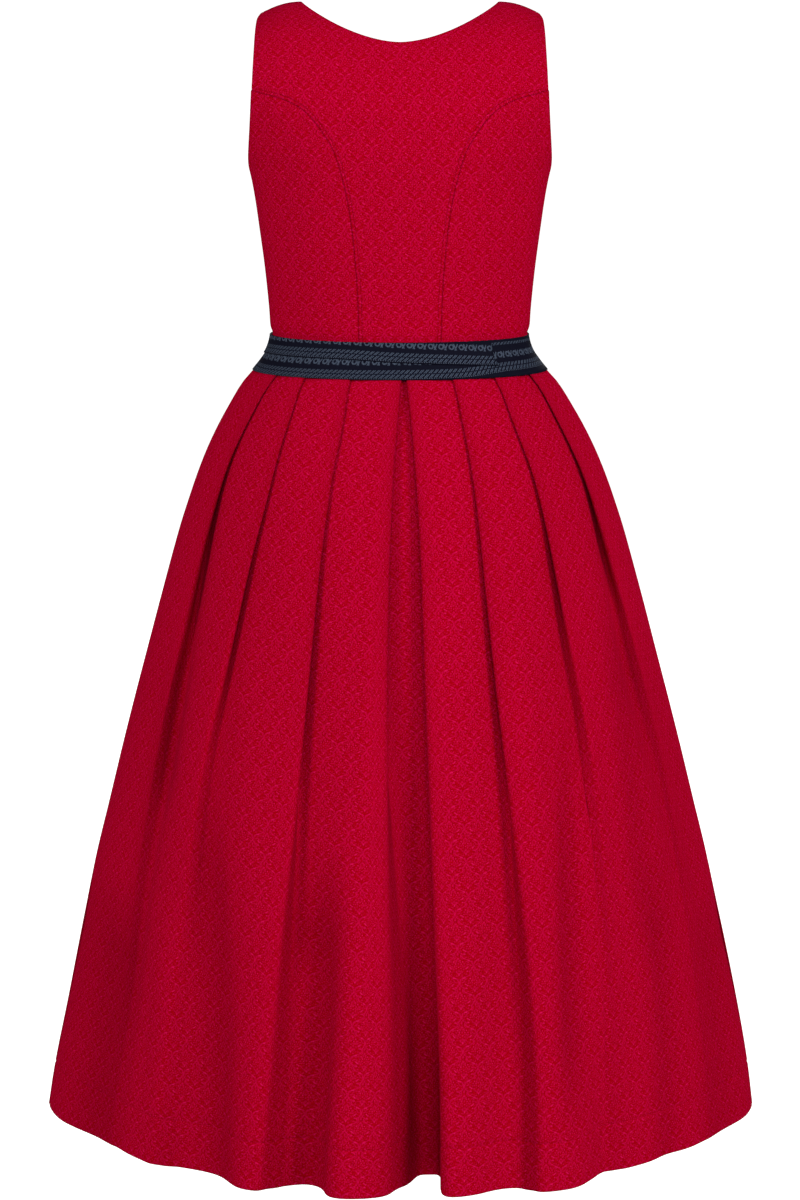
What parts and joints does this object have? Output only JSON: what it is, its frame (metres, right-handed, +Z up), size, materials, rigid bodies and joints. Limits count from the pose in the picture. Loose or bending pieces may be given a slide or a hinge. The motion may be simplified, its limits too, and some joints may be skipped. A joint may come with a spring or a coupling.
{
  "type": "dirndl dress",
  "caption": "Sleeveless dirndl dress with a fitted bodice, low back neckline, knee-length pleated skirt and a woven ribbon belt wound twice round the waist.",
  "frame": {"origin": "midway between the two shoulder seams, at the level where the straps rest", "axes": "+Z up to the neck, -Y out of the back of the dress, +Y out of its front, +X to the wearer's right"},
  "size_m": [0.7248, 0.6384, 1.1238],
  "materials": {
    "red_jacquard": "woven jacquard with a slight sheen",
    "navy_ribbon": "woven patterned ribbon"
  },
  "bodies": {
    "root": {"back_centre": "red_jacquard", "back_side_left": "red_jacquard", "back_side_right": "red_jacquard", "front_centre": "red_jacquard", "front_side_left": "red_jacquard", "front_side_right": "red_jacquard", "skirt_back": "red_jacquard", "skirt_front": "red_jacquard", "ribbon_belt": "navy_ribbon"}
  },
  "joints": []
}
